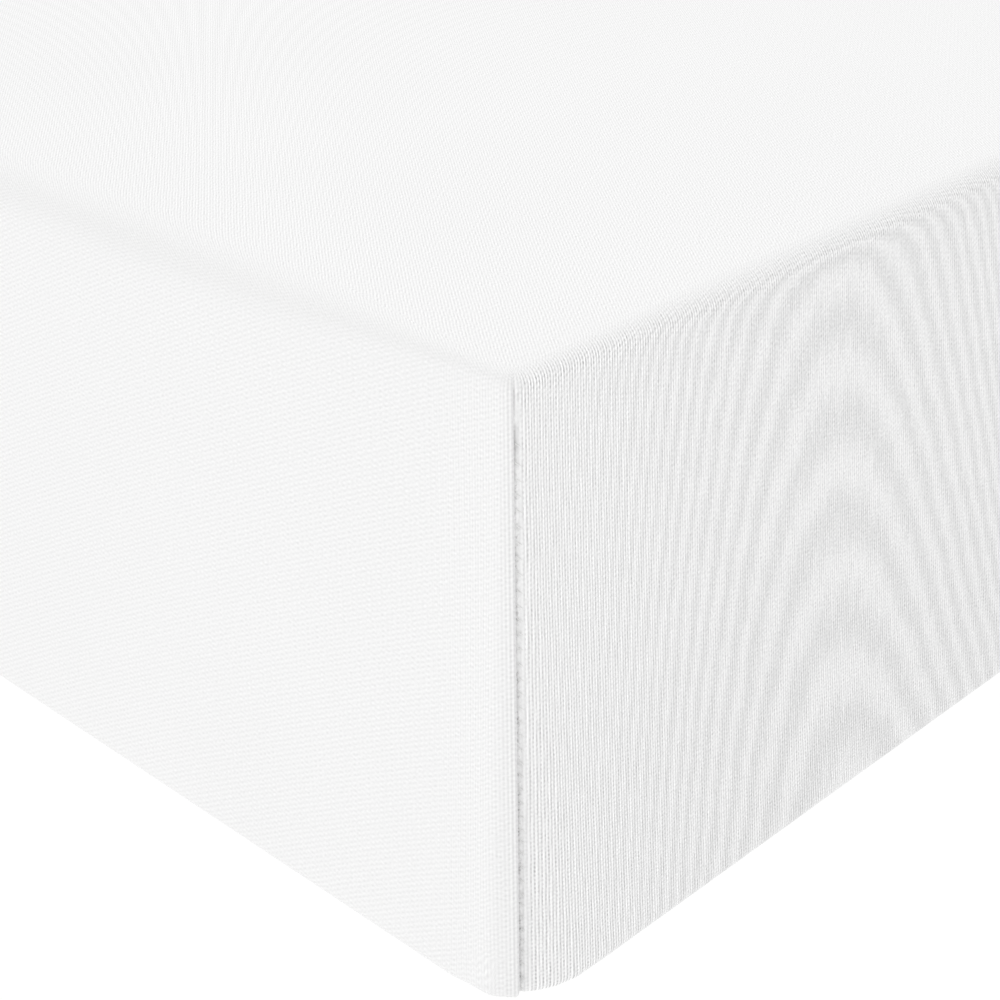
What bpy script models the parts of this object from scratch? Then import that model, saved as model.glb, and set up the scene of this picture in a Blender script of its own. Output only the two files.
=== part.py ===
# A white jersey fitted sheet stretched over a plain block mattress.
# Metres, +Z up. The origin is on the floor under the middle of the mattress, and the long sides run along Y.
# The photographed corner is the one at -X, -Y.

import math

import bmesh
import bpy

# The mattress
MATTRESS_WIDTH = 0.900
MATTRESS_LENGTH = 2.000
MATTRESS_HEIGHT = 0.145
MATTRESS_CORNER_RADIUS = 0.030
MATTRESS_EDGE_RADIUS = 0.016

# The cloth, its room round the mattress, and its room under it, where the gathered hem needs more
CLOTH_THICKNESS = 0.0015
GAP = 0.0003
ROOM_UNDER = 0.0020

# Rounding between the top and the drops: soft along the sides, crisp at the ends, tight at the corners
SIDE_EDGE_RADIUS = 0.0105
END_EDGE_RADIUS = 0.0050
CORNER_EDGE_RADIUS = 0.0030
EDGE_TAPER = 0.080

# Corners seen from above: almost square at the top, rounder where the cloth turns under
TOP_CORNER_RADIUS = 0.004
FLOOR_CORNER_RADIUS = 0.022
CORNER_SPREAD = 1.5

# The part that turns under the mattress
UNDER_EDGE_RADIUS = 0.004
TURN_UNDER = 0.090
HEM_CORNER_RADIUS = 0.060

# The corner seam: the side drop ends in a rounded lip, with a groove beside it. Places are measured
# from the seam, negative on the side drop. The relief fades in below the top edge.
LIP_PLACE = -0.0020
LIP_REACH = 0.0024
LIP_HEIGHT = 0.0020
GROOVE_PLACE = 0.0009
GROOVE_REACH = 0.0013
GROOVE_DEPTH = 0.0008
SEAM_RUN_IN = 0.016

# Lines of the loft, as distances from the seam, then as shares of the way on to the middle of a drop
SIDE_LINES = (0.080, 0.050, 0.030, 0.020, 0.014, 0.0090, 0.0056, 0.0044, 0.0032, 0.0020, 0.0010)
END_LINES = (0.0002, 0.0009, 0.0016, 0.0024, 0.0052, 0.0090, 0.014, 0.020, 0.030, 0.050, 0.080)
SIDE_SHARES = (1.0, 0.5, 0.15)
END_SHARES = (0.3, 1.0)

# Rows of the loft. A drop's rows are distances below the top edge's rounding, and TOP_RIM is the width
# of the flat strip between the rounding and the top's one large face.
TOP_RIM = 0.006
EDGE_STEPS = 5
DROP_ROWS = (0.004, 0.009, 0.015, 0.025, 0.042, 0.060, 0.078, 0.095, 0.110, 0.124)
UNDER_STEPS = 4
TURN_STEPS = 3

SHEET_COLOUR = (0.905, 0.912, 0.908, 1.0)
MATTRESS_COLOUR = (0.780, 0.775, 0.750, 1.0)

MATTRESS_FLOOR = CLOTH_THICKNESS + ROOM_UNDER
INNER_TOP = MATTRESS_FLOOR + MATTRESS_HEIGHT + GAP
INNER_HALF_WIDTH = MATTRESS_WIDTH / 2 + GAP
INNER_HALF_LENGTH = MATTRESS_LENGTH / 2 + GAP
THICKEST = CLOTH_THICKNESS + LIP_HEIGHT


def remove_everything():
    for item in list(bpy.data.objects):
        bpy.data.objects.remove(item, do_unlink=True)


def smooth_step(share):
    share = min(max(share, 0.0), 1.0)
    return share * share * (3 - 2 * share)


def mix(start, end, share):
    return start + (end - start) * share


def bump(distance, reach):
    """A soft hump: 1 in its middle, 0 at its reach."""
    return 0.5 + 0.5 * math.cos(math.pi * min(abs(distance) / reach, 1.0))


def seam_relief(along):
    lip = LIP_HEIGHT * bump(along - LIP_PLACE, LIP_REACH)
    groove = GROOVE_DEPTH * bump(along - GROOVE_PLACE, GROOVE_REACH)
    return lip - groove


def edge_radius(along):
    """The cloth's inner rounding at the top edge, by the distance from the seam."""
    far = SIDE_EDGE_RADIUS if along < 0 else END_EDGE_RADIUS
    return mix(CORNER_EDGE_RADIUS, far, smooth_step(abs(along) / EDGE_TAPER)) - CLOTH_THICKNESS


def corner_radius(level):
    """The cloth's inner corner radius from above, by height."""
    depth = 1 - min(max(level / INNER_TOP, 0.0), 1.0)
    return mix(TOP_CORNER_RADIUS, FLOOR_CORNER_RADIUS, depth**CORNER_SPREAD) - CLOTH_THICKNESS


def ring_point(inset, radius, along):
    """A point set in by inset from the outline with that corner radius. along is measured on the
    outline from the seam at the corner -X, -Y, negative up the side and positive across the end."""
    half_arc = radius * math.pi / 4
    turned = max(min(along / half_arc, 1.0), -1.0)
    angle = math.pi / 4 * (1 + turned)
    straight = max(abs(along) - half_arc, 0.0)
    x = radius - INNER_HALF_WIDTH - (radius - inset) * math.cos(angle)
    y = radius - INNER_HALF_LENGTH - (radius - inset) * math.sin(angle)
    return (x, y + straight) if along < 0 else (x + straight, y)


def profile(along):
    """Rows from the top's rim to the hem: inset, level, the outline's corner radius, and the share
    of the seam's relief."""
    radius = edge_radius(along)
    under = UNDER_EDGE_RADIUS - CLOTH_THICKNESS
    rows = [(radius + TOP_RIM, INNER_TOP, corner_radius(INNER_TOP) + TOP_RIM, 0.0)]
    for step in range(EDGE_STEPS + 1):
        turn = math.pi / 2 * step / EDGE_STEPS
        level = INNER_TOP - radius * (1 - math.cos(turn))
        rows.append((radius * (1 - math.sin(turn)), level, corner_radius(level), 0.0))
    for distance in DROP_ROWS:
        level = INNER_TOP - radius - distance
        rows.append((0.0, level, corner_radius(level), smooth_step(distance / SEAM_RUN_IN)))
    for step in range(UNDER_STEPS + 1):
        turn = math.pi / 2 * step / UNDER_STEPS
        level = UNDER_EDGE_RADIUS - under * math.sin(turn)
        rows.append((under * (1 - math.cos(turn)), level, corner_radius(level), math.cos(turn) ** 2))
    start = corner_radius(CLOTH_THICKNESS)
    for step in range(1, TURN_STEPS + 1):
        share = step / TURN_STEPS
        inset = mix(under, TURN_UNDER, share)
        rows.append((inset, CLOTH_THICKNESS, mix(start, HEM_CORNER_RADIUS + TURN_UNDER, share), 0.0))
    return rows


def loft_line(along, share):
    """Points and thicknesses down one line of the cloth. share is 0, or how far the line has moved
    on from its place near the corner to the middle of its drop."""
    half = INNER_HALF_LENGTH if along < 0 else INNER_HALF_WIDTH
    points = []
    thicknesses = []
    for inset, level, radius, relief in profile(along):
        to_middle = half - radius + radius * math.pi / 4
        place = math.copysign(mix(abs(along), to_middle, share), along)
        points.append((*ring_point(inset, radius, place), level))
        thicknesses.append(CLOTH_THICKNESS + relief * seam_relief(along))
    return points, thicknesses


def quarter_of_sheet():
    """The cloth's inner face over the corner -X, -Y, open along both middle planes."""
    lines = [loft_line(-SIDE_LINES[0], share) for share in SIDE_SHARES]
    lines += [loft_line(-along, 0) for along in SIDE_LINES]
    lines += [loft_line(along, 0) for along in END_LINES]
    lines += [loft_line(END_LINES[-1], share) for share in END_SHARES]
    points = [point for line, _ in lines for point in line]
    thicknesses = [thickness for _, column in lines for thickness in column]
    rows = len(lines[0][0])
    faces = []
    for line in range(len(lines) - 1):
        for row in range(rows - 1):
            first = line * rows + row
            faces.append((first, first + 1, first + rows + 1, first + rows))
    rim = [line * rows for line in range(len(lines))]
    faces.append((*rim, len(points)))
    points.append((0.0, 0.0, INNER_TOP))
    thicknesses.append(CLOTH_THICKNESS)
    return points, faces, thicknesses


def new_material(name, colour, roughness):
    material = bpy.data.materials.new(name)
    material.use_nodes = True
    shader = material.node_tree.nodes["Principled BSDF"]
    shader.inputs["Base Color"].default_value = colour
    shader.inputs["Roughness"].default_value = roughness
    shader.inputs["Metallic"].default_value = 0.0
    return material


def make_sheet(collection):
    points, faces, thicknesses = quarter_of_sheet()
    mesh = bpy.data.meshes.new("fitted_sheet")
    mesh.from_pydata(points, [], faces)
    mesh.materials.append(new_material("white_jersey", SHEET_COLOUR, 0.95))
    mesh.shade_smooth()
    sheet = bpy.data.objects.new("fitted_sheet", mesh)
    collection.objects.link(sheet)
    cloth = sheet.vertex_groups.new(name="thickness")
    for point, thickness in enumerate(thicknesses):
        cloth.add([point], thickness / THICKEST, "REPLACE")

    corners = sheet.modifiers.new("four_corners", "MIRROR")
    corners.use_axis = (True, True, False)
    corners.use_clip = True
    corners.merge_threshold = 0.0001

    thicken = sheet.modifiers.new("cloth_outwards", "SOLIDIFY")
    thicken.thickness = THICKEST
    thicken.offset = 1.0
    thicken.use_even_offset = True
    thicken.vertex_group = cloth.name
    thicken.thickness_vertex_group = 0.0
    return sheet


def make_mattress(collection):
    shape = bmesh.new()
    bmesh.ops.create_cube(shape, size=1.0)
    bmesh.ops.scale(shape, vec=(MATTRESS_WIDTH, MATTRESS_LENGTH, MATTRESS_HEIGHT), verts=shape.verts)
    upright = [
        edge for edge in shape.edges
        if abs(edge.verts[0].co.z - edge.verts[1].co.z) > MATTRESS_HEIGHT / 2
    ]
    bmesh.ops.bevel(
        shape, geom=upright, offset=MATTRESS_CORNER_RADIUS, segments=6, profile=0.5, affect="EDGES"
    )
    mesh = bpy.data.meshes.new("mattress")
    shape.to_mesh(mesh)
    shape.free()
    mesh.materials.append(new_material("mattress_ticking", MATTRESS_COLOUR, 0.9))
    mattress = bpy.data.objects.new("mattress", mesh)
    mattress.location.z = MATTRESS_FLOOR + MATTRESS_HEIGHT / 2
    collection.objects.link(mattress)

    rounding = mattress.modifiers.new("rounded_edges", "BEVEL")
    rounding.width = MATTRESS_EDGE_RADIUS
    rounding.segments = 4
    rounding.limit_method = "ANGLE"
    rounding.angle_limit = math.radians(40)
    return mattress


def main():
    remove_everything()
    collection = bpy.data.collections.new("fitted_sheet_on_mattress")
    bpy.context.scene.collection.children.link(collection)
    make_mattress(collection)
    make_sheet(collection)


main()
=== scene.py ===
import math

import bmesh
import bpy
from mathutils import Matrix, Vector, noise


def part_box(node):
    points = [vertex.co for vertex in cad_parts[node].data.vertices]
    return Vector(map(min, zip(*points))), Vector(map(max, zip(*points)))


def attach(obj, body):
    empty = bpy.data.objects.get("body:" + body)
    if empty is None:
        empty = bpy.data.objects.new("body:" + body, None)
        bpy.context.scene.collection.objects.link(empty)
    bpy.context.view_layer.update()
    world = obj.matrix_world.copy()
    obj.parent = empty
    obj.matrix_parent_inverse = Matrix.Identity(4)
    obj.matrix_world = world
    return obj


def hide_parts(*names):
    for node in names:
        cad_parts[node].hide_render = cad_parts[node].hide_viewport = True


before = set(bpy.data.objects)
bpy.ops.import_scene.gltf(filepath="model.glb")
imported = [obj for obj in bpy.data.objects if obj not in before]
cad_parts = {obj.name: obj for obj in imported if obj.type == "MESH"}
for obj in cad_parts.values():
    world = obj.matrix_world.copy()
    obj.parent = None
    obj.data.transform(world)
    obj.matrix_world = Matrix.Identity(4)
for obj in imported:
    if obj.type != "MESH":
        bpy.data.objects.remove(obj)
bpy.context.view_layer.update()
mattressLow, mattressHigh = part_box("mattress")
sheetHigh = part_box("fitted_sheet")[1]
print("frame loaded")


def mix(start, end, share):
    return start + (end - start) * share


def smoothStep(share):  # 0 to 1 with a soft start and end
    share = min(max(share, 0.0), 1.0)
    return share * share * (3 - 2 * share)


def hump(distance, reach):  # 1 in the middle, 0 at its reach
    return 0.5 + 0.5 * math.cos(math.pi * min(abs(distance) / reach, 1.0))


def wobble(place, length, seed, layer=0.0):  # smooth noise along a line, about -1 to 1
    return noise.noise(Vector((place / length, seed, layer)))


def hexColour(code):  # sRGB hex to the linear values that Blender works in
    channels = [int(code[place:place + 2], 16) / 255 for place in (0, 2, 4)]
    linear = [c / 12.92 if c <= 0.04045 else ((c + 0.055) / 1.055) ** 2.4 for c in channels]
    return (*linear, 1.0)


def addNode(tree, kind, settings=None, links=None):
    node = tree.nodes.new(kind)
    for name, value in (settings or {}).items():
        if isinstance(name, int) or name in node.inputs:
            node.inputs[name].default_value = value
        else:
            setattr(node, name, value)
    for name, source in (links or {}).items():
        tree.links.new(getattr(source, "outputs", [source])[0], node.inputs[name])
    return node


def selectOnly(piece=None):
    bpy.ops.object.select_all(action="DESELECT")
    if piece:
        piece.select_set(True)
        bpy.context.view_layer.objects.active = piece


def newPiece(name, points, faces):
    mesh = bpy.data.meshes.new(name)
    mesh.from_pydata(points, [], faces)
    piece = bpy.data.objects.new(name, mesh)
    bpy.context.scene.collection.objects.link(piece)
    return piece


def turnFacesOut(piece):
    selectOnly(piece)
    bpy.ops.object.mode_set(mode="EDIT")
    bpy.ops.mesh.select_all(action="SELECT")
    bpy.ops.mesh.normals_make_consistent(inside=False)
    bpy.ops.object.mode_set(mode="OBJECT")


cameraLook = {
    "place": (-0.6898, -1.2343, 0.3046),
    "turn": 44.754,              # degrees round from +X to +Y
    "down": 28.218,
    "tilt": 0.759,               # the picture leans a little
    "lens": 75.02,
    "sensor": 36.0,
    "nearest": 0.01,
}


def makeCamera():
    turn, down, tilt = (math.radians(cameraLook[name]) for name in ("turn", "down", "tilt"))
    forward = Vector((math.cos(turn) * math.cos(down), math.sin(turn) * math.cos(down), -math.sin(down)))
    level = Vector((math.sin(turn), -math.cos(turn), 0.0))
    below = forward.cross(level)
    right = level * math.cos(tilt) + below * math.sin(tilt)
    up = level * math.sin(tilt) - below * math.cos(tilt)
    data = bpy.data.cameras.new("camera")
    data.sensor_width = cameraLook["sensor"]
    data.lens = cameraLook["lens"]
    data.clip_start = cameraLook["nearest"]
    camera = bpy.data.objects.new("camera", data)
    turned = Matrix((right, up, -forward)).transposed().to_4x4()
    camera.matrix_world = Matrix.Translation(cameraLook["place"]) @ turned
    bpy.context.scene.collection.objects.link(camera)
    bpy.context.scene.camera = camera


makeCamera()
print("camera placed")

studioLook = {
    "floorSize": 60.0,
    "floorColour": "595959",
    "floorRoughness": 0.9,
    "floorGlow": 0.942,
    "sky": 0.752,
    "lamps": {                   # both are wide and weak: the light is almost even
        "right_lamp": {"towards": (0.580, 0.026, 0.814), "strength": 0.69, "spread": 30},
        "left_lamp": {"towards": (-0.759, 0.330, 0.561), "strength": 0.50, "spread": 60},
    },
}


def makeStudio():
    scene = bpy.context.scene
    scene.view_settings.view_transform = "Standard"
    world = bpy.data.worlds.new("sky")
    world.use_nodes = True
    background = world.node_tree.nodes["Background"]
    background.inputs["Color"].default_value = (1.0, 1.0, 1.0, 1.0)
    background.inputs["Strength"].default_value = studioLook["sky"]
    scene.world = world
    for name, settings in studioLook["lamps"].items():
        data = bpy.data.lights.new(name, "SUN")
        data.energy = settings["strength"]
        data.angle = math.radians(settings["spread"])
        lamp = bpy.data.objects.new(name, data)
        lamp.rotation_euler = Vector(settings["towards"]).to_track_quat("Z", "Y").to_euler()
        scene.collection.objects.link(lamp)

    selectOnly()
    bpy.ops.mesh.primitive_plane_add(size=studioLook["floorSize"], location=(0, 0, 0))
    floor = bpy.context.active_object
    floor.name = "floor"
    # opal acrylic lit from below: an even white that shows hardly any shadow
    material = bpy.data.materials.new("opal_acrylic_table")
    material.use_nodes = True
    shader = material.node_tree.nodes["Principled BSDF"]
    shader.inputs["Base Color"].default_value = hexColour(studioLook["floorColour"])
    shader.inputs["Roughness"].default_value = studioLook["floorRoughness"]
    shader.inputs["Specular IOR Level"].default_value = 0.0
    shader.inputs["Emission Color"].default_value = (1.0, 1.0, 1.0, 1.0)
    shader.inputs["Emission Strength"].default_value = studioLook["floorGlow"]
    floor.data.materials.append(material)


makeStudio()
print("studio lit")

sheetShape = {
    "room": 0.0018,              # from the mattress out to the cloth's outer face
    "cloth": 0.0006,             # jersey pulled taut
    "rim": 0.006,                # flat strip between the top's rounding and its big flat
    "cornerEdge": 0.0030,        # rounding of the top edge: at a corner, along a side, across an end
    "sideEdge": 0.0105,
    "endEdge": 0.0050,
    "edgeTaper": 0.080,
    "topCorner": 0.004,          # corner radius seen from above, at the top and at the floor
    "floorCorner": 0.022,
    "cornerSpread": 1.5,
    "underEdge": 0.004,          # rounding at the floor
    "turnUnder": 0.090,          # how far the cloth runs in under the mattress
    "hemCorner": 0.060,
    "hemStarts": 0.80,           # share of the way in where the doubled hem begins
    "hemLift": 0.0004,
    "lift": 0.0021,              # height of the gathers that the hem's elastic makes
    "gather": 0.021,             # mean length of one gather
    "gatherStray": (0.55, 0.05, 2.0),    # how far they stray, over what length, and a seed
    "gatherHeights": (0.72, 0.5, 0.033, 9.0),
    "gatherGrows": (0.12, 0.55),         # share of the way in where they start, and over what share
    "sway": 0.00022,             # taut cloth is never quite flat
    "swaySlow": (0.21, 0.34, 0.12, 0.0),     # lengths of the waves in x, y and z, and a seed
    "swayQuick": (0.055, 0.09, 0.05, 9.0),
    "quickShare": 0.35,
    "calm": 0.012,               # no sway this near the floor or a seam, and full sway farther on
    "calmUp": 0.05,
    "calmRound": 0.08,
    "flat": (1.42, 2.52),        # cut size: the top, two drops, two turn-unders and two hems each way
    "flatArea": 3.31,            # less a square of 0.26 m at each corner
    "straightens": 0.08,         # from here the distance from the seam is counted on the flat cloth
    "gridStarts": 0.03,          # and here the top's grid has its first line
    "sidePlaces": (0.0058, 0.0075, 0.0095, 0.012, 0.016, 0.024, 0.036, 0.055, 0.080),
    "endPlaces": (0.0062, 0.009, 0.014, 0.022, 0.035, 0.055, 0.080),
    "sideLines": 36,             # lines from the last of those places to the middle of the drop
    "endLines": 15,
    "gatherStep": 0.0036,
    "edgeSteps": 6,
    "dropRows": 210,             # rows down a drop beside a seam
    "keyEvery": 14,              # every so many of them goes all the way round
    "underSteps": 5,
    "turnRows": (0.10, 0.24, 0.40, 0.56, 0.70, 0.79, 0.80, 0.90, 1.0),
}
seamShape = {
    "starts": 0.0018,            # below the top
    "runIn": 0.0020,
    # pairs are at the top and at the floor
    "lean": (0.00014, 0.00038),      # the seam lies a little way round on the end
    "leanEnds": 0.010,
    "lipHeight": (0.00025, 0.0027),  # how proud the side drop's lip stands
    "lipFlat": (0.0008, 0.0050),     # how far from the seam it stays proud
    "lipReach": (0.0040, 0.0120),    # and where it ends
    "lipRound": (0.00025, 0.00060),
    "footRound": 0.0010,
    "gapDepth": (0.00030, 0.00055),  # the end drop dips into the seam
    "gapReach": (0.00070, 0.0011),
    "stitch": 0.0034,
    "wander": (2.2, 0.009, 7.3),     # how far the stitches stray in radians, over what length, a seed
    "pull": (0.7, 0.9, 0.0047, 3.1, 5.0),
    "dentPlace": 0.0005,
    "dentReach": 0.0008,
    "dentDepth": 0.00040,
    "reliefEnds": 0.0125,
    "sidePlaces": (0.00005, 0.00015, 0.0003, 0.0006, 0.0012, 0.0021, 0.0031, 0.0044),
    "endPlaces": (0.00005, 0.0002, 0.0004, 0.0006, 0.0009, 0.0012, 0.0016, 0.0021, 0.0028, 0.0040),
}
halfWidth = mattressHigh.x + sheetShape["room"]
halfLength = mattressHigh.y + sheetShape["room"]
topLevel = sheetHigh.z


def edgeRadius(along):  # along is the distance from the seam, negative on a side drop
    far = sheetShape["sideEdge"] if along <= 0 else sheetShape["endEdge"]
    return mix(sheetShape["cornerEdge"], far, smoothStep(abs(along) / sheetShape["edgeTaper"]))


def cornerRadius(level):
    depth = 1 - min(max(level / topLevel, 0.0), 1.0)
    return mix(sheetShape["topCorner"], sheetShape["floorCorner"], depth ** sheetShape["cornerSpread"])


def outlinePoint(inset, radius, along):
    halfArc = radius * math.pi / 4
    turned = max(min(along / halfArc, 1.0), -1.0)
    angle = math.pi / 4 * (1 + turned)
    straight = max(abs(along) - halfArc, 0.0)
    x = radius - halfWidth - (radius - inset) * math.cos(angle)
    y = radius - halfLength - (radius - inset) * math.sin(angle)
    return (x, y + straight) if along <= 0 else (x + straight, y)


def seamLean(along, level):
    lean = mix(*seamShape["lean"], 1 - level / topLevel)
    return lean * (1 - smoothStep(abs(along) / seamShape["leanEnds"]))


def stitchWander(level, corner):  # how far the stitches stray from even spacing, in radians
    reach, length, seed = seamShape["wander"]
    return reach * wobble(level, length, corner * seed)


def stitchPull(level, corner):  # 1 where a stitch draws the cloth in, no two quite alike
    mean, uneven, length, seed, layer = seamShape["pull"]
    strength = mean + uneven * wobble(level, length, corner * seed, layer)
    phase = 2 * math.pi * level / seamShape["stitch"] + stitchWander(level, corner)
    return strength * (0.5 + 0.5 * math.cos(phase)) ** 2


def seamRelief(along, level, corner):
    depth = topLevel - level
    if depth < seamShape["starts"] or abs(along) > seamShape["reliefEnds"]:
        return 0.0
    started = smoothStep((depth - seamShape["starts"]) / seamShape["runIn"])
    share = depth / topLevel
    gapDepth, gapReach, flat, reach, rounding = (
        mix(*seamShape[name], share) for name in ("gapDepth", "gapReach", "lipFlat", "lipReach", "lipRound"))
    if along > 0:
        dent = stitchPull(level, corner) * hump(along - seamShape["dentPlace"], seamShape["dentReach"])
        relief = -gapDepth * (1 - smoothStep(along / gapReach)) - seamShape["dentDepth"] * share * dent
        return relief * started
    height = mix(*seamShape["lipHeight"], smoothStep(share))
    rounding += seamShape["footRound"] * (1 - smoothStep(level / sheetShape["underEdge"]))
    relief = height * (1 - smoothStep((-along - flat) / (reach - flat)))
    edge = min(max(1 + along / rounding, 0.0), 1.0)
    relief -= (height + gapDepth) * (1 - math.sqrt(1 - edge ** 2))
    return relief * started


# Columns of one quarter, from the middle of the long side past the seam to the middle of the end. Each is
# a distance from the seam, the share it has moved on to the middle, and its kind.
def makeColumns():
    def outwards(sign, places, lines, reach):
        stations = [(place, 0.0) for place in places]
        stations += [(places[-1], step / lines) for step in range(1, lines + 1)]
        columns = [(*stations[0], "main")]
        for (place, share), (nextPlace, nextShare) in zip(stations, stations[1:]):
            gap = mix(nextPlace, reach, nextShare) - mix(place, reach, share)
            between = max(int(round(gap / sheetShape["gatherStep"])), 1)
            for step in range(1, between):
                part = step / between
                columns.append((mix(place, nextPlace, part), mix(share, nextShare, part), "gather"))
            columns.append((nextPlace, nextShare, "main"))
        return [(sign * place, share, kind) for place, share, kind in columns]

    side = outwards(-1, sheetShape["sidePlaces"], sheetShape["sideLines"], halfLength)
    end = outwards(1, sheetShape["endPlaces"], sheetShape["endLines"], halfWidth)
    sideSeam = [(-place, 0.0, "seam") for place in reversed(seamShape["sidePlaces"])]
    endSeam = [(place, 0.0, "seam") for place in seamShape["endPlaces"]]
    return side[::-1] + sideSeam + endSeam + end


# Rows from the top's rim to the hem: a zone, the share of it, and how far round the row goes
def makeRows():
    rows = [("rim", 0.0, "key")]
    steps = sheetShape["edgeSteps"]
    rows += [("edge", step / steps, "key") for step in range(steps + 1)]
    for step in range(1, sheetShape["dropRows"]):
        spread = "key" if step % sheetShape["keyEvery"] == 0 else "fine"
        rows.append(("drop", step / sheetShape["dropRows"], spread))
    steps = sheetShape["underSteps"]
    rows += [("under", step / steps, "key") for step in range(steps + 1)]
    rows += [("turn", share, "turn") for share in sheetShape["turnRows"]]
    return rows


def gatherHeight(station, share):  # station is a length along the hem
    stray, strayLength, straySeed = sheetShape["gatherStray"]
    mean, spread, length, seed = sheetShape["gatherHeights"]
    starts, grows = sheetShape["gatherGrows"]
    wave = station / sheetShape["gather"] + stray * wobble(station, strayLength, straySeed)
    fold = 0.5 + 0.5 * math.sin(2 * math.pi * wave)
    uneven = mean + spread * wobble(station, length, seed)
    height = sheetShape["lift"] * min(fold * uneven, 1.0) * smoothStep((share - starts) / grows)
    return height + (sheetShape["hemLift"] if share >= sheetShape["hemStarts"] else 0.0)


# A point of the cloth's outer face, its depth down the cloth, its distance from the seam, and how much of
# the drop's own knit it shows
def clothPoint(along, share, zone, step, corner, station):
    radius = edgeRadius(along)
    under = sheetShape["underEdge"]
    turn = math.pi / 2 * step
    level, inset, relief, dropShare = topLevel, radius + sheetShape["rim"], 0.0, 0.0
    if zone == "edge":
        level = topLevel - radius * (1 - math.cos(turn))
        inset = radius * (1 - math.sin(turn))
        relief, dropShare = math.sin(turn), smoothStep(step)
    elif zone == "drop":
        level = mix(topLevel - radius, under, step)
        inset, relief, dropShare = 0.0, 1.0, 1.0
    elif zone == "under":
        level = under * (1 - math.sin(turn))
        inset = under * (1 - math.cos(turn))
        relief, dropShare = math.cos(turn) ** 2, 1.0
    elif zone == "turn":
        level, inset, dropShare = 0.0, mix(under, sheetShape["turnUnder"], step), 1.0
    outline = cornerRadius(level) + (sheetShape["rim"] if zone == "rim" else 0.0)
    if zone == "turn":
        outline = mix(outline, sheetShape["hemCorner"] + sheetShape["turnUnder"], step)
    reach = halfLength if along <= 0 else halfWidth
    toMiddle = reach - outline + outline * math.pi / 4
    place = math.copysign(mix(abs(along), toMiddle, share), along)
    if share == 0:
        inset -= relief * seamRelief(along, level, corner)
    x, y = outlinePoint(inset, outline, place + seamLean(place, level))
    depth = topLevel - level + (inset if zone in ("under", "turn") else -inset)
    if zone == "turn":
        level = gatherHeight(station, step)
    away = (halfLength + y) if along <= 0 else (halfWidth + x)
    fromSeam = mix(abs(place), away, smoothStep(abs(place) / sheetShape["straightens"]))
    return (x, y, level), depth, fromSeam, dropShare


# the signs of each corner's place, and whether its columns run the other way round
corners = ((-1, -1, False), (1, -1, True), (1, 1, False), (-1, 1, True))


# Every column all the way round, with the signs of its corner's place and its length along the hem
def makeRing():
    columns = makeColumns()
    ring = []
    station = 0.0
    last = None
    for corner, (signX, signY, turned) in enumerate(corners):
        for along, share, kind in (columns[::-1] if turned else columns)[:-1]:
            x, y, z = clothPoint(along, share, "turn", 1.0, corner, 0.0)[0]
            here = Vector((-signX * x, -signY * y))
            station += (here - last).length if last else 0.0
            last = here
            ring.append((signX, signY, corner, along, share, kind, station))
    return ring


# The points of the rim, the drops and the turn-under, with their places on the flat cloth and how much of
# each drop's knit they show
def addRingPoints(cloth, ring, rows):
    index = {}
    for c, (signX, signY, corner, along, share, kind, station) in enumerate(ring):
        for r, (zone, step, spread) in enumerate(rows):
            turnsUnder = spread == "turn" or (zone == "under" and step == 1.0)
            if (kind == "gather" and not turnsUnder) or (kind == "main" and spread == "fine"):
                continue
            (x, y, z), depth, fromSeam, dropShare = clothPoint(along, share, zone, step, corner, station)
            endShare, sideShare = (0.0, dropShare) if along <= 0 else (dropShare, 0.0)
            # the third share is how strongly a stitch dent is painted darker in the jersey: painted shade,
            # which also feeds its bump
            dent = 0.0
            if kind == "seam" and zone in ("drop", "under") and along > 0:
                dent = stitchPull(z, corner) * hump(along - seamShape["dentPlace"], seamShape["dentReach"])
            index[c, r] = len(cloth["points"])
            cloth["points"].append((-signX * x, -signY * y, z))
            cloth["sideFlats"].append((signX * (halfWidth + depth), signY * (halfLength - fromSeam)))
            cloth["endFlats"].append((signX * (halfWidth - fromSeam), signY * (halfLength + depth)))
            cloth["shares"].append((endShare, sideShare, dent))
    return index


def addDrops(cloth, ring, rows, index):
    kinds = [kind for signX, signY, corner, along, share, kind, station in ring]
    onSide = [along <= 0 for signX, signY, corner, along, share, kind, station in ring]
    spreads = [spread for zone, step, spread in rows]

    # One face between two columns and two rows, with every point that lies on its four edges. The first
    # row of faces still lies on the top.
    def addCell(c, following, upper, lower):
        left = [index[c, row] for row in range(upper, lower + 1) if (c, row) in index]
        right = [index[following, row] for row in range(upper, lower + 1) if (following, row) in index]
        between = range(c + 1, following if following > c else len(ring))
        bottom = [index[step, lower] for step in between if (step, lower) in index]
        cloth["faces"].append(left + bottom + right[::-1])
        drop = "side" if onSide[c] and onSide[following] else "end"
        cloth["panels"].append("top" if upper == 0 else drop)

    keyRows = [r for r, spread in enumerate(spreads) if spread == "key"]
    upperRows = [r for r, spread in enumerate(spreads) if spread != "turn"]
    turnRows = upperRows[-1:] + [r for r, spread in enumerate(spreads) if spread == "turn"]
    grown = [c for c, kind in enumerate(kinds) if kind != "gather"]
    for c, following in zip(grown, grown[1:] + grown[:1]):
        useRows = upperRows if kinds[c] == kinds[following] == "seam" else keyRows
        for upper, lower in zip(useRows, useRows[1:]):
            addCell(c, following, upper, lower)
    for c in range(len(ring)):
        for upper, lower in zip(turnRows, turnRows[1:]):
            addCell(c, (c + 1) % len(ring), upper, lower)


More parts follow.
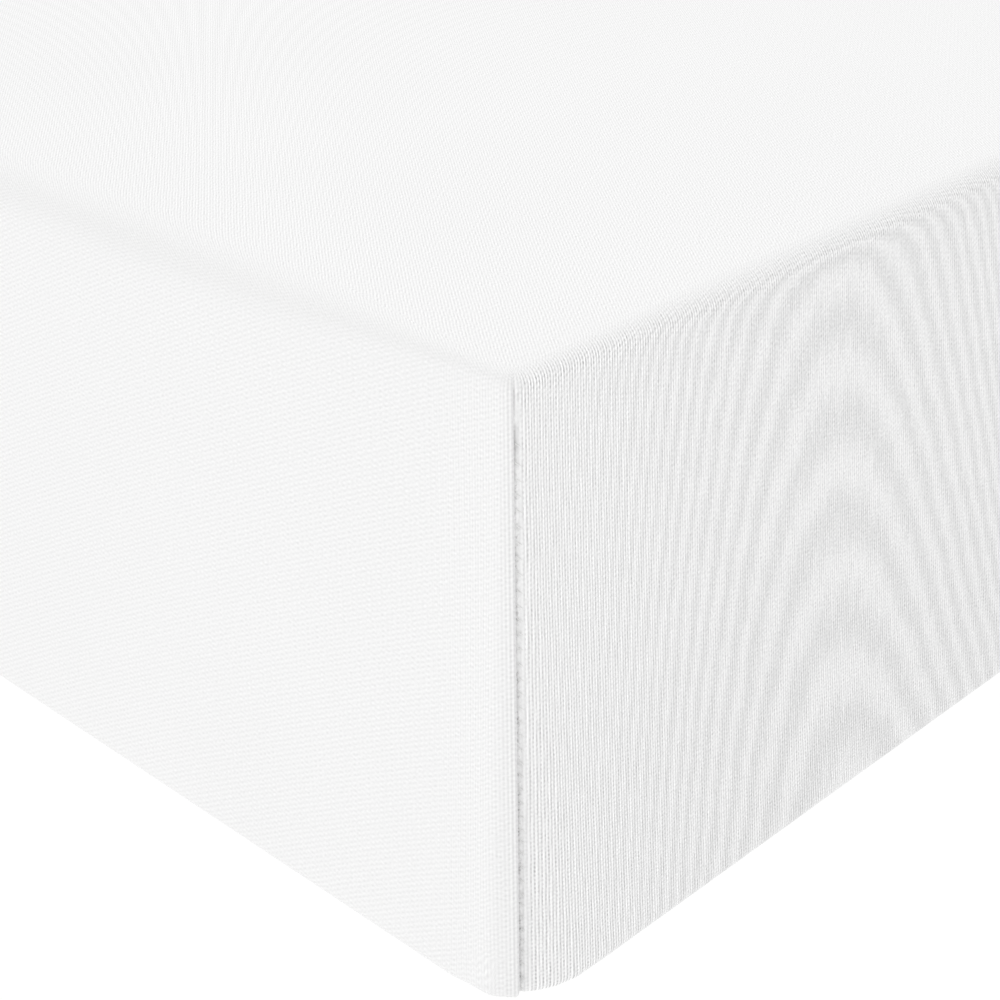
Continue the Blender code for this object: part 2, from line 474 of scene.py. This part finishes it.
# The flat of the top is a grid whose lines run on from the drops' own.
def addTop(cloth, ring, index):
    points = cloth["points"]

    def rimPoints(onEnds):
        found = {}
        for c, (signX, signY, corner, along, share, kind, station) in enumerate(ring):
            if kind == "main" and (along > 0) == onEnds and abs(along) > sheetShape["gridStarts"]:
                x, y, z = points[index[c, 0]]
                place, sign = (round(x, 5), signY) if onEnds else (round(y, 5), signX)
                found.setdefault(place, {})[sign] = c
        return dict(sorted(found.items()))

    def addFace(loop):
        cloth["faces"].append(loop)
        cloth["panels"].append("top")

    acrossLines, alongLines = rimPoints(True), rimPoints(False)
    xs, ys = list(acrossLines), list(alongLines)
    inner = {}
    for i, x in enumerate(xs):
        for j, y in enumerate(ys):
            inner[i, j] = len(points)
            points.append((x, y, topLevel))
            cloth["sideFlats"].append((x, y))
            cloth["endFlats"].append((x, y))
            cloth["shares"].append((0.0, 0.0, 0.0))

    lastX, lastY = len(xs) - 1, len(ys) - 1
    for i in range(lastX):
        for j in range(lastY):
            addFace([inner[i, j], inner[i + 1, j], inner[i + 1, j + 1], inner[i, j + 1]])
    for sign, edgeI, edgeJ in ((-1, 0, 0), (1, lastX, lastY)):
        for j in range(lastY):
            first, second = (index[alongLines[ys[k]][sign], 0] for k in (j, j + 1))
            addFace([first, inner[edgeI, j], inner[edgeI, j + 1], second])
        for i in range(lastX):
            first, second = (index[acrossLines[xs[k]][sign], 0] for k in (i, i + 1))
            addFace([first, inner[i, edgeJ], inner[i + 1, edgeJ], second])
    for signX, i in ((-1, 0), (1, lastX)):
        for signY, j in ((-1, 0), (1, lastY)):
            low, high = sorted((alongLines[ys[j]][signX], acrossLines[xs[i]][signY]))
            walk = list(range(low, high + 1))
            if high - low > len(ring) / 2:
                walk = list(range(high, len(ring))) + list(range(low + 1))
            addFace([index[c, 0] for c in walk if (c, 0) in index] + [inner[i, j]])


def makeSheetMesh():
    ring = makeRing()
    rows = makeRows()
    cloth = {name: [] for name in ("points", "sideFlats", "endFlats", "shares", "faces", "panels")}
    index = addRingPoints(cloth, ring, rows)
    addDrops(cloth, ring, rows, index)
    addTop(cloth, ring, index)
    piece = newPiece("fitted_sheet_cloth", cloth["points"], cloth["faces"])
    mesh = piece.data
    flat = mesh.uv_layers.new(name="flatCloth")  # metres on the cloth as it was cut
    for polygon, panel in zip(mesh.polygons, cloth["panels"]):
        flats = cloth["sideFlats"] if panel == "side" else cloth["endFlats"]
        for loop in polygon.loop_indices:
            vertex = mesh.loops[loop].vertex_index
            flat.data[loop].uv = cloth["points"][vertex][:2] if panel == "top" else flats[vertex]
    # end share, side share, and the stitch dents' painted shade
    shown = mesh.attributes.new("panelShare", "FLOAT_COLOR", "POINT")
    for vertex, share in enumerate(cloth["shares"]):
        shown.data[vertex].color = (*share, 1.0)
    return piece


# faint unevenness of taut cloth, none at the seams, at the floor or under the mattress
def swayCloth(piece):
    def wave(place, name):
        lengthX, lengthY, lengthZ, seed = sheetShape[name]
        return noise.noise(Vector((place.x / lengthX + seed, place.y / lengthY, place.z / lengthZ)))

    calm = sheetShape["calm"]
    mesh = piece.data
    normals = [vertex.normal.copy() for vertex in mesh.vertices]
    for vertex, normal in zip(mesh.vertices, normals):
        place = vertex.co
        fromCorner = math.hypot(halfWidth - abs(place.x), halfLength - abs(place.y))
        free = smoothStep((place.z - calm) / sheetShape["calmUp"])
        free *= smoothStep((fromCorner - calm) / sheetShape["calmRound"])
        sway = wave(place, "swaySlow") + sheetShape["quickShare"] * wave(place, "swayQuick")
        vertex.co += normal * free * sheetShape["sway"] * sway


def makeSheet():
    piece = makeSheetMesh()
    turnFacesOut(piece)
    piece.data.shade_smooth()
    swayCloth(piece)
    thicken = piece.modifiers.new("cloth", "SOLIDIFY")
    thicken.thickness = sheetShape["cloth"]
    thicken.offset = -1.0
    bpy.ops.object.modifier_apply(modifier=thicken.name)
    return piece


sheet = makeSheet()
print("sheet made:", len(sheet.data.polygons), "faces")

jerseyLook = {
    "colour": "f4f4f4",
    "roughness": 0.93,
    "gloss": 0.2,
    "relief": 0.00012,           # metres of height for a change of 1 in brightness
    # Knit waves that show on each panel: waves a millimetre across the panel and along it, strength, and
    # which of three slow noises makes it patchy. A rib is 0.73 mm wide at the top edge, and a stitch is
    # about 1.1 mm long.
    # the waves darken the colour as well as the relief: painted shade in the knit's grooves, beside their
    # bump
    "top": ((1.25, -1.00, 0.068, 0), (0.00, 0.72, 0.010, 1), (0.55, -0.85, 0.010, 2),
            (1.10, -1.35, 0.011, 1)),
    "end": ((1.37, 0.00, 0.155, 0), (0.685, 0.00, 0.020, 1), (0.40, -0.87, 0.034, 2),
            (-0.27, -0.90, 0.022, 1), (-0.95, -0.90, 0.016, 0), (1.37, 0.87, 0.014, 1)),
    "side": ((-0.90, -0.43, 0.026, 0), (-0.86, 0.23, 0.014, 1), (-0.86, -1.02, 0.010, 2),
             (0.00, 0.65, 0.006, 2), (0.85, 0.00, 0.008, 1)),
    # Noises: how many a millimetre across and along the cloth, and how rough. Threads stray, waves come in
    # patches, the yarn has specks, and some ribs are lighter for a stretch.
    "strayScale": (0.35, 0.07, 1.0),
    "strayRough": 0.6,
    "patchScale": (1.0, 0.35, 1.0),
    "patchRough": 0.5,
    "speckScale": (1.9, 1.3, 1.0),
    "speckRough": 0.5,
    "streakScale": (1.5, 0.12, 1.0),
    "streakRough": 0.4,
    "detail": 4.0,
    "yarnStray": 0.45,           # how far a thread strays, in millimetres
    "topSpecks": 0.042,
    "endSpecks": 0.034,
    "sideSpecks": 0.036,
    "endStreaks": 0.030,
    "cloudScale": 0.014,
    "cloudShow": 0.02,
    # painted shade: how much darker the stitch dents are painted; the same value deepens their bump
    "dentShade": 0.16,
    # From here four numbers are a range: from and to, in millimetres or parts of a noise, and what it gives.
    "patchRange": (0.30, 0.70, 0.20, 1.80),
    "speckRange": (0.30, 0.70, -1.0, 1.0),
    "slit": (0.2, 1.0, 1.0, 0.0),      # painted shade: dark dots in the slit beside the seam, where the stitches draw it in
    "slitShow": 0.03,
    "slitShadeDots": (0.50, 0.68, 0.0, 0.30),
    "shadeDotsStart": (9.0, 30.0, 0.0, 1.0),
    # painted shade: a short dark dash in the slit below the seam's start, where it stands a little open
    "shadeDashStarts": (9.0, 12.0, 0.0, 0.24),
    "shadeDashEnds": (14.0, 20.0, 1.0, 0.0),
    "edgeRibs": (3.0, 7.0, 0.55, 0.0),  # the ribs show more in the rounding of the top edge
    "lowerRibs": (60.0, 150.0, 1.0, 1.25),  # and a little more towards the floor
    "farther": (20.0, 60.0, 0.0, 1.0),  # away from the corner the ribs show less and the specks more
    "fartherRibs": -0.35,
    "fartherSpecks": 0.060,
    "strip": (0.8, 1.6, 1.0, 0.0),     # smooth strip between the seam and the first rib
    "stripGrows": 0.0095,
    "stripRibs": -0.7,
    # painted light: the strip is painted a little lighter, to thin the shade that the lip casts on it
    "stripPaintedLight": 0.012,
    "paintedShadeTowardsMiddle": (0.0, 80.0, 0.024, -0.018),  # painted light and shade: the ends are painted lighter by the corner and darker slowly away from it and down
    "paintedShadeTowardsFloor": (20.0, 150.0, 0.002, -0.022),
    "ribsPart": 0.00115,         # beside a corner the ribs widen by this share for each millimetre down
    "ribsPartEnds": (150.0, 400.0),
    "lengthen": 0.0008,          # stitches of the side drops grow longer towards the floor
    "column": 1.40,              # upright columns beside the lip: how many a millimetre
    "columnStarts": 0.60,
    # the columns nearest the lip are partly painted light: their bright line is a painted highlight on the
    # lip's folded edge, with painted shade beside it; farther off they are the knit's own columns
    "lipHighlightColumns": (0.3, 3.0, 0.060, 0.0),
    "nearColumns": (6.0, 26.0, 0.034, 0.0),
}
# The ribs beat in wide faint arches on the ends, as watered cloth does. Millimetres from the corner and
# down from the top; the arches are hyperbolas that crowd together at the top edge.
archShape = {
    "rise": 0.0374,              # arches a millimetre down the middle
    "riseFalls": -0.000094,
    "spread": 0.875,             # arches a millimetre far out on both sides
    "spreadFalls": -0.00183,
    "width": 173.4,
    "lean": 0.2247,
    "centre": 49.2,
    "start": 0.102,
    "ragged": 0.8,
    "edgeCrowd": 3.476,          # extra arches at the top edge
    "edgeReach": 2.58,
    "edgeStops": 1.5,
    "cornerCrowd": 3.0,          # and beside the corner
    "cornerReach": 50.0,
    "cornerPower": 3.0,
    "comesIn": (0.0, 50.0, 0.026, 0.052),
    "goesOut": (175.0, 235.0, 1.0, 0.0),
    "stopsUnder": (149.0, 160.0, 1.0, 0.0),
}
# On the top, beside one corner, the same beat is a faint fan of lines. They curve as a cubic does, counted
# in decimetres from the fan's middle: a row for each power of the place across, from the third down, and in
# it a number for each power of the place along.
fanShape = {
    "middle": (-330.0, -830.0),
    "unit": 100.0,
    "bends": ((2.27,), (2.72, -15.89), (-1.71, -1.01, 14.18), (-2.06, 14.61, -27.38, 0.15)),
    "show": 0.013,
    "goesOutAcross": (-260.0, -200.0, 1.0, 0.0),
    "goesOutAlong": (-720.0, -660.0, 1.0, 0.0),
}


# The jersey's pattern is a list of steps. Each names its result, then the sum or the range that makes it,
# from numbers and the results of earlier steps. Places are in millimetres.
def placeSteps(look):  # where a point lies, how its threads stray, and the yarn's own light and dark
    return [
        ("half", "SIGN", "across"),
        ("fromMiddle", "ABSOLUTE", "across"),
        ("fromCentre", "ABSOLUTE", "along"),
        ("fromCorner", "SUBTRACT", 1000 * halfWidth, "fromMiddle"),
        ("fromSeam", "SUBTRACT", 1000 * halfLength, "fromCentre"),
        ("down", "SUBTRACT", "fromCentre", 1000 * halfLength),
        ("endDown", "MAXIMUM", "down", 0.0),
        ("sideDown", "SUBTRACT", "fromMiddle", 1000 * halfWidth),
        ("sideDown", "MAXIMUM", "sideDown", 0.0),
        ("shift", "SMOOTHSTEP", "fromCorner", *look["ribsPartEnds"], look["ribsPart"], 0.0),
        ("shift", "MULTIPLY", "shift", "fromCorner"),
        ("shift", "MULTIPLY", "shift", "endDown"),
        ("lengthened", "MULTIPLY", "sideDown", "sideDown"),
        ("shift", "MULTIPLY_ADD", "lengthened", -look["lengthen"], "shift"),
        ("acrossThread", "MULTIPLY_ADD", "shift", "half", "across"),
        ("acrossThread", "MULTIPLY_ADD", "strayAcross", look["yarnStray"], "acrossThread"),
        ("alongThread", "MULTIPLY_ADD", "strayAlong", look["yarnStray"], "along"),
        ("specks", "LINEAR", "specks", *look["speckRange"]),
        ("streaks", "LINEAR", "streaks", *look["speckRange"]),
    ]


def waveSteps(look):  # the knit of each panel
    steps = [(f"patch{number}", "LINEAR", f"patch{number}", *look["patchRange"]) for number in range(3)]
    for panel in ("top", "end", "side"):
        steps.append((panel, "ADD", 0.0, 0.0))
        for across, along, show, number in look[panel]:
            steps += [
                ("wave", "MULTIPLY", "acrossThread", 2 * math.pi * across),
                ("wave", "MULTIPLY_ADD", "alongThread", 2 * math.pi * along, "wave"),
                ("wave", "COSINE", "wave"),
                ("wave", "MULTIPLY", "wave", f"patch{number}"),
                (panel, "MULTIPLY_ADD", "wave", show, panel),
            ]
    return steps


def sideSteps(look):  # the side drops: specks, and upright columns beside the lip
    turn = 2 * math.pi * look["column"]
    return [
        ("side", "MULTIPLY_ADD", "specks", look["sideSpecks"], "side"),
        # upright columns beside the lip, whose bright line at the lip's edge is a painted highlight with
        # painted shade beside it
        ("lip", "MULTIPLY_ADD", "fromSeam", turn, -turn * look["columnStarts"]),
        ("lip", "COSINE", "lip"),
        ("near", "SMOOTHSTEP", "fromSeam", *look["nearColumns"]),
        ("near", "MULTIPLY", "near", "patch1"),
        ("edge", "SMOOTHSTEP", "fromSeam", *look["lipHighlightColumns"]),
        ("near", "ADD", "near", "edge"),
        ("side", "MULTIPLY_ADD", "lip", "near", "side"),
    ]


def endSteps(look):  # the end drops: how much the ribs show, the slit beside the seam, slow changes
    return [
        ("strip", "MULTIPLY_ADD", "endDown", -look["stripGrows"], "fromCorner"),
        ("strip", "SMOOTHSTEP", "strip", *look["strip"]),
        ("ribs", "SMOOTHSTEP", "down", *look["edgeRibs"]),
        ("ribs", "MULTIPLY_ADD", "strip", look["stripRibs"], "ribs"),
        ("lower", "SMOOTHSTEP", "endDown", *look["lowerRibs"]),
        ("ribs", "ADD", "ribs", "lower"),
        ("farther", "SMOOTHSTEP", "fromCorner", *look["farther"]),
        ("ribs", "MULTIPLY_ADD", "farther", look["fartherRibs"], "ribs"),
        ("end", "MULTIPLY", "end", "ribs"),
        ("farther", "MULTIPLY_ADD", "farther", look["fartherSpecks"], look["endSpecks"]),
        ("end", "MULTIPLY_ADD", "specks", "farther", "end"),
        ("end", "MULTIPLY_ADD", "streaks", look["endStreaks"], "end"),
        # painted light on the strip beside the seam
        ("end", "MULTIPLY_ADD", "strip", look["stripPaintedLight"], "end"),
        # painted shade in the seam's slit: dark dots and a short dash, taken off the colour and the bump
        # relief alike
        ("slit", "SMOOTHSTEP", "fromCorner", *look["slit"]),
        ("dots", "SMOOTHSTEP", "dots", *look["slitShadeDots"]),
        ("deep", "SMOOTHSTEP", "down", *look["shadeDotsStart"]),
        ("dots", "MULTIPLY_ADD", "dots", "deep", look["slitShow"]),
        ("shadeDash", "SMOOTHSTEP", "down", *look["shadeDashStarts"]),
        ("deep", "SMOOTHSTEP", "down", *look["shadeDashEnds"]),
        ("dots", "MULTIPLY_ADD", "shadeDash", "deep", "dots"),
        ("dots", "MULTIPLY", "dots", "slit"),
        ("end", "SUBTRACT", "end", "dots"),
        # painted light and shade on the ends: lighter by the corner, darker farther along and down
        ("slow", "SMOOTHSTEP", "fromCorner", *look["paintedShadeTowardsMiddle"]),
        ("end", "ADD", "end", "slow"),
        ("slow", "SMOOTHSTEP", "endDown", *look["paintedShadeTowardsFloor"]),
        ("end", "ADD", "end", "slow"),
    ]


def topSteps(look, fan):  # the top: specks, and the fan of lines
    steps = [
        ("top", "MULTIPLY_ADD", "specks", look["topSpecks"], "top"),
        ("fanAcross", "MULTIPLY_ADD", "across", 1 / fan["unit"], -fan["middle"][0] / fan["unit"]),
        ("fanAlong", "MULTIPLY_ADD", "along", 1 / fan["unit"], -fan["middle"][1] / fan["unit"]),
        ("lines", "ADD", 0.0, 0.0),
    ]
    for row in fan["bends"]:
        steps.append(("bend", "ADD", row[0], 0.0))
        steps += [("bend", "MULTIPLY_ADD", "bend", "fanAlong", value) for value in row[1:]]
        steps.append(("lines", "MULTIPLY_ADD", "lines", "fanAcross", "bend"))
    return steps + [
        ("lines", "MULTIPLY", "lines", 2 * math.pi),
        ("lines", "COSINE", "lines"),
        ("fade", "SMOOTHSTEP", "across", *fan["goesOutAcross"]),
        ("lines", "MULTIPLY", "lines", "fade"),
        ("fade", "SMOOTHSTEP", "along", *fan["goesOutAlong"]),
        ("lines", "MULTIPLY", "lines", "fade"),
        ("top", "MULTIPLY_ADD", "lines", fan["show"], "top"),
    ]


def knitSteps(look):  # the panels joined, with the dents at the stitches; this also gives the relief
    return [
        ("onDrop", "ADD", "endShare", "sideShare"),
        ("onTop", "SUBTRACT", 1.0, "onDrop"),
        ("knit", "MULTIPLY", "top", "onTop"),
        ("knit", "MULTIPLY_ADD", "end", "endShare", "knit"),
        ("knit", "MULTIPLY_ADD", "side", "sideShare", "knit"),
        # painted shade: the stitch dents are painted darker, and the same value deepens their bump
        ("knit", "MULTIPLY_ADD", "dent", -look["dentShade"], "knit"),
        ("knit", "MULTIPLY_ADD", "clouds", look["cloudShow"], "knit"),
        ("knit", "ADD", "knit", 1.0 - look["cloudShow"] / 2),
    ]


def archSteps(arch):  # the arches over the end drops, in colour only
    aboveCrowd = arch["edgeCrowd"] / arch["edgeReach"] * math.exp(-arch["edgeStops"] / arch["edgeReach"])
    return [
        ("aside", "SUBTRACT", "fromCorner", arch["centre"]),
        ("far", "MULTIPLY_ADD", "aside", "aside", arch["width"] ** 2),
        ("far", "SQRT", "far"),
        ("far", "SUBTRACT", "far", arch["width"]),
        ("spread", "MULTIPLY_ADD", "down", arch["spreadFalls"], 1.0),
        ("spread", "MULTIPLY", "spread", "far"),
        ("phase", "MULTIPLY_ADD", "down", arch["riseFalls"], arch["rise"]),
        ("phase", "MULTIPLY_ADD", "phase", "down", arch["start"]),
        ("phase", "MULTIPLY_ADD", "spread", -arch["spread"], "phase"),
        ("phase", "MULTIPLY_ADD", "aside", arch["lean"], "phase"),
        ("below", "MAXIMUM", "down", arch["edgeStops"]),
        ("crowd", "MULTIPLY", "below", -1 / arch["edgeReach"]),
        ("crowd", "EXPONENT", "crowd"),
        ("phase", "MULTIPLY_ADD", "crowd", -arch["edgeCrowd"], "phase"),
        ("above", "SUBTRACT", "down", arch["edgeStops"]),
        ("above", "MINIMUM", "above", 0.0),
        ("phase", "MULTIPLY_ADD", "above", aboveCrowd, "phase"),
        ("close", "MULTIPLY_ADD", "fromCorner", -1 / arch["cornerReach"], 1.0),
        ("close", "MAXIMUM", "close", 0.0),
        ("close", "POWER", "close", arch["cornerPower"]),
        ("phase", "MULTIPLY_ADD", "close", -arch["cornerCrowd"], "phase"),
        ("phase", "MULTIPLY_ADD", "strayAlong", arch["ragged"], "phase"),
        ("arches", "MULTIPLY", "phase", 2 * math.pi),
        ("arches", "COSINE", "arches"),
        ("arches", "MULTIPLY", "arches", "endShare"),
        ("fade", "SMOOTHSTEP", "fromCorner", *arch["comesIn"]),
        ("arches", "MULTIPLY", "arches", "fade"),
        ("fade", "SMOOTHSTEP", "down", *arch["stopsUnder"]),
        ("arches", "MULTIPLY", "arches", "fade"),
        ("fade", "SMOOTHSTEP", "fromCorner", *arch["goesOut"]),
        ("bright", "MULTIPLY_ADD", "arches", "fade", "knit"),
    ]


def jersey():
    # cotton rib jersey, knitted and pulled taut: matt, soft white, with fine upright ribs on the ends
    material = bpy.data.materials.new("cotton_rib_jersey")
    material.use_nodes = True
    tree = material.node_tree
    shader = tree.nodes["Principled BSDF"]
    look = jerseyLook

    flatMetres = addNode(tree, "ShaderNodeUVMap", {"uv_map": "flatCloth"})
    flat = addNode(tree, "ShaderNodeVectorMath", {"operation": "SCALE", "Scale": 1000.0}, {0: flatMetres})
    place = addNode(tree, "ShaderNodeSeparateXYZ", {}, {0: flat})
    shown = addNode(tree, "ShaderNodeAttribute", {"attribute_name": "panelShare"})
    shares = addNode(tree, "ShaderNodeSeparateColor", {}, {0: shown})
    grains, split = {}, {}
    for name in ("stray", "patch", "speck", "streak"):
        stretched = addNode(tree, "ShaderNodeVectorMath", {"operation": "MULTIPLY", 1: look[f"{name}Scale"]},
                            {0: flat})
        settings = {"Scale": 1.0, "Detail": look["detail"], "Roughness": look[f"{name}Rough"]}
        grains[name] = addNode(tree, "ShaderNodeTexNoise", settings, {"Vector": stretched})
    for name in ("stray", "patch", "speck"):  # these give two or three noises each
        split[name] = addNode(tree, "ShaderNodeSeparateColor", {}, {0: grains[name].outputs["Color"]})
    settings = {"Scale": look["cloudScale"], "Detail": look["detail"]}
    clouds = addNode(tree, "ShaderNodeTexNoise", settings, {"Vector": flat})

    parts = {
        "across": place.outputs["X"], "along": place.outputs["Y"], "dent": shares.outputs["Blue"],
        "endShare": shares.outputs["Red"], "sideShare": shares.outputs["Green"],
        "strayAcross": split["stray"].outputs[0], "strayAlong": split["stray"].outputs[1],
        "specks": split["speck"].outputs[0], "dots": split["speck"].outputs[1],
        "streaks": grains["streak"].outputs[0], "clouds": clouds.outputs[0],
        **{f"patch{number}": split["patch"].outputs[number] for number in range(3)},
    }
    steps = placeSteps(look) + waveSteps(look) + sideSteps(look) + endSteps(look)
    steps += topSteps(look, fanShape) + knitSteps(look) + archSteps(archShape)
    for result, operation, *inputs in steps:
        ranged = operation in ("LINEAR", "SMOOTHSTEP")
        settings = {slot: value for slot, value in enumerate(inputs) if not isinstance(value, str)}
        settings["interpolation_type" if ranged else "operation"] = operation
        links = {slot: parts[value] for slot, value in enumerate(inputs) if isinstance(value, str)}
        kind = "ShaderNodeMapRange" if ranged else "ShaderNodeMath"
        parts[result] = addNode(tree, kind, settings, links).outputs[0]

    # the knit's brightness also goes into the colour: there the darker rib grooves are painted shade, beside
    # their bump relief
    shade = addNode(tree, "ShaderNodeVectorMath", {"operation": "SCALE", 0: hexColour(look["colour"])[:3]},
                    {"Scale": parts["bright"]})
    tree.links.new(shade.outputs[0], shader.inputs["Base Color"])
    shader.inputs["Roughness"].default_value = look["roughness"]
    shader.inputs["Specular IOR Level"].default_value = look["gloss"]
    relief = addNode(tree, "ShaderNodeBump", {"Strength": 1.0, "Distance": look["relief"]},
                     {"Height": parts["knit"]})
    tree.links.new(relief.outputs[0], shader.inputs["Normal"])
    return material


sheet.data.materials.append(jersey())
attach(sheet, "root")
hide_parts("fitted_sheet")
print("jersey on")

stitchShape = {
    "thread": 0.00012,           # its radius
    "sides": 5,
    "colour": "f7f7f6",
    "roughness": 0.7,
    "gloss": 0.3,
    "seamFrom": 0.012,           # below the top
    "seamTo": 0.146,
    "settles": 4,                # a stitch's level depends on the stray there, so it is found in rounds
    # a seam stitch: how far from the seam, how proud of the cloth, how far down
    "seamPath": ((0.0001, -0.0002, -0.0003), (0.0004, 0.0000, -0.0001), (0.0008, 0.0001, 0.0001),
                 (0.0012, 0.0000, 0.0004), (0.0015, -0.0002, 0.0006)),
    "hemShare": 0.84,
    # a hem stitch: share of the way to the next one, and how far below the cloth
    "hemPath": ((0.18, -0.00006), (0.34, 0.00011), (0.66, 0.00011), (0.82, -0.00006)),
}


# a short closed tube of thread along a path
def addThread(points, faces, path):
    sides = stitchShape["sides"]
    first = len(points)
    for number, place in enumerate(path):
        tangent = (path[min(number + 1, len(path) - 1)] - path[max(number - 1, 0)]).normalized()
        aside = tangent.cross(Vector((0, 0, 1))).normalized()
        upward = aside.cross(tangent)
        for side in range(sides):
            turn = 2 * math.pi * side / sides
            points.append(place + stitchShape["thread"] * (aside * math.cos(turn) + upward * math.sin(turn)))
    for number in range(len(path) - 1):
        start = first + number * sides
        for side in range(sides):
            following = (side + 1) % sides
            faces.append((start + side, start + following, start + sides + following, start + sides + side))
    faces.append(tuple(first + side for side in reversed(range(sides))))
    faces.append(tuple(len(points) - sides + side for side in range(sides)))


def makeSeamStitches():
    points, faces = [], []
    pitch = seamShape["stitch"]
    count = int((stitchShape["seamTo"] - stitchShape["seamFrom"]) / pitch)
    for corner, (signX, signY, turned) in enumerate(corners):
        for number in range(count):
            level = evenLevel = pitch * (number + math.ceil((topLevel - stitchShape["seamTo"]) / pitch))
            for again in range(stitchShape["settles"]):
                level = evenLevel - pitch * stitchWander(level, corner) / (2 * math.pi)
            path = []
            for along, proud, fall in stitchShape["seamPath"]:
                height = level - fall
                outward = seamRelief(along, height, corner) + proud
                place = along + seamLean(along, height)
                x, y = outlinePoint(-outward, cornerRadius(height), place)
                path.append(Vector((-signX * x, -signY * y, height)))
            addThread(points, faces, path)
    return newPiece("seam_stitches", points, faces)


def makeHemStitches():
    points, faces = [], []
    ring = makeRing()
    line = []
    for signX, signY, corner, along, share, kind, station in ring:
        x, y, z = clothPoint(along, share, "turn", stitchShape["hemShare"], corner, station)[0]
        line.append(Vector((-signX * x, -signY * y, z)))
    for here, following in zip(line, line[1:]):
        if (following - here).length > sheetShape["gatherStep"] / 2:
            path = [here.lerp(following, part) - Vector((0, 0, below))
                    for part, below in stitchShape["hemPath"]]
            addThread(points, faces, path)
    return newPiece("hem_stitches", points, faces)


def sewingThread():
    # spun polyester sewing thread: white, a little smoother than the jersey
    material = bpy.data.materials.new("spun_polyester_thread")
    material.use_nodes = True
    shader = material.node_tree.nodes["Principled BSDF"]
    shader.inputs["Base Color"].default_value = hexColour(stitchShape["colour"])
    shader.inputs["Roughness"].default_value = stitchShape["roughness"]
    shader.inputs["Specular IOR Level"].default_value = stitchShape["gloss"]
    return material


stitches = [makeSeamStitches(), makeHemStitches()]
thread = sewingThread()
for piece in stitches:
    turnFacesOut(piece)
    piece.data.shade_smooth()
    piece.data.materials.append(thread)
    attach(piece, "root")
print("stitches sewn")

mattressShape = {
    "corner": 0.030,
    "cornerSteps": 8,
    "edge": 0.016,
    "edgeSteps": 5,
    "edgeAngle": 40,             # degrees: flatter edges than this stay as they are
    "darkThread": "d9d7cf",
    "lightThread": "ecebe6",
    "thread": 0.0009,            # the ticking's thread spacing
    "threadRelief": 0.0002,
    "threadSoft": 0.5,
    "roughness": 0.9,
    "gloss": 0.2,
}


def makeMattress():
    selectOnly()
    size = mattressHigh - mattressLow
    bpy.ops.mesh.primitive_cube_add(size=1.0, location=(0, 0, 0))
    piece = bpy.context.active_object
    piece.name = piece.data.name = "mattress_block"
    bpy.ops.object.mode_set(mode="EDIT")
    bpy.ops.mesh.select_all(action="SELECT")
    bpy.ops.transform.resize(value=size)
    bpy.ops.transform.translate(value=(mattressHigh + mattressLow) / 2)
    bpy.ops.mesh.select_all(action="DESELECT")
    shape = bmesh.from_edit_mesh(piece.data)
    for edge in shape.edges:
        edge.select_set(abs(edge.verts[0].co.z - edge.verts[1].co.z) > size.z / 2)
    bmesh.update_edit_mesh(piece.data)
    bpy.ops.mesh.bevel(offset=mattressShape["corner"], segments=mattressShape["cornerSteps"], affect="EDGES")
    bpy.ops.object.mode_set(mode="OBJECT")
    rounding = piece.modifiers.new("rounded_edges", "BEVEL")
    rounding.width = mattressShape["edge"]
    rounding.segments = mattressShape["edgeSteps"]
    rounding.limit_method = "ANGLE"
    rounding.angle_limit = math.radians(mattressShape["edgeAngle"])
    bpy.ops.object.modifier_apply(modifier=rounding.name)
    piece.data.shade_smooth()
    return piece


def ticking():
    # woven cotton ticking over foam: matt off-white, a fine twill of warp and weft
    material = bpy.data.materials.new("woven_cotton_ticking")
    material.use_nodes = True
    tree = material.node_tree
    shader = tree.nodes["Principled BSDF"]
    place = addNode(tree, "ShaderNodeTexCoord").outputs["Object"]
    turn = 2 * math.pi / mattressShape["thread"]
    threads = []
    for direction in ((turn, turn, turn), (turn, -turn, turn / 2)):
        reach = addNode(tree, "ShaderNodeVectorMath", {"operation": "DOT_PRODUCT", 1: direction}, {0: place})
        threads.append(addNode(tree, "ShaderNodeMath", {"operation": "SINE"}, {0: reach.outputs["Value"]}))
    weave = addNode(tree, "ShaderNodeMath", {"operation": "MULTIPLY"}, {0: threads[0], 1: threads[1]})
    part = addNode(tree, "ShaderNodeMapRange", {"From Min": -1.0}, {0: weave})
    shade = addNode(tree, "ShaderNodeMix", {"data_type": "RGBA", 6: hexColour(mattressShape["darkThread"]),
                    7: hexColour(mattressShape["lightThread"])}, {0: part})
    tree.links.new(shade.outputs[2], shader.inputs["Base Color"])
    shader.inputs["Roughness"].default_value = mattressShape["roughness"]
    shader.inputs["Specular IOR Level"].default_value = mattressShape["gloss"]
    settings = {"Strength": mattressShape["threadSoft"], "Distance": mattressShape["threadRelief"]}
    relief = addNode(tree, "ShaderNodeBump", settings, {"Height": weave})
    tree.links.new(relief.outputs[0], shader.inputs["Normal"])
    return material


mattress = makeMattress()
mattress.data.materials.append(ticking())
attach(mattress, "root")
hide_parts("mattress")
print("mattress made")
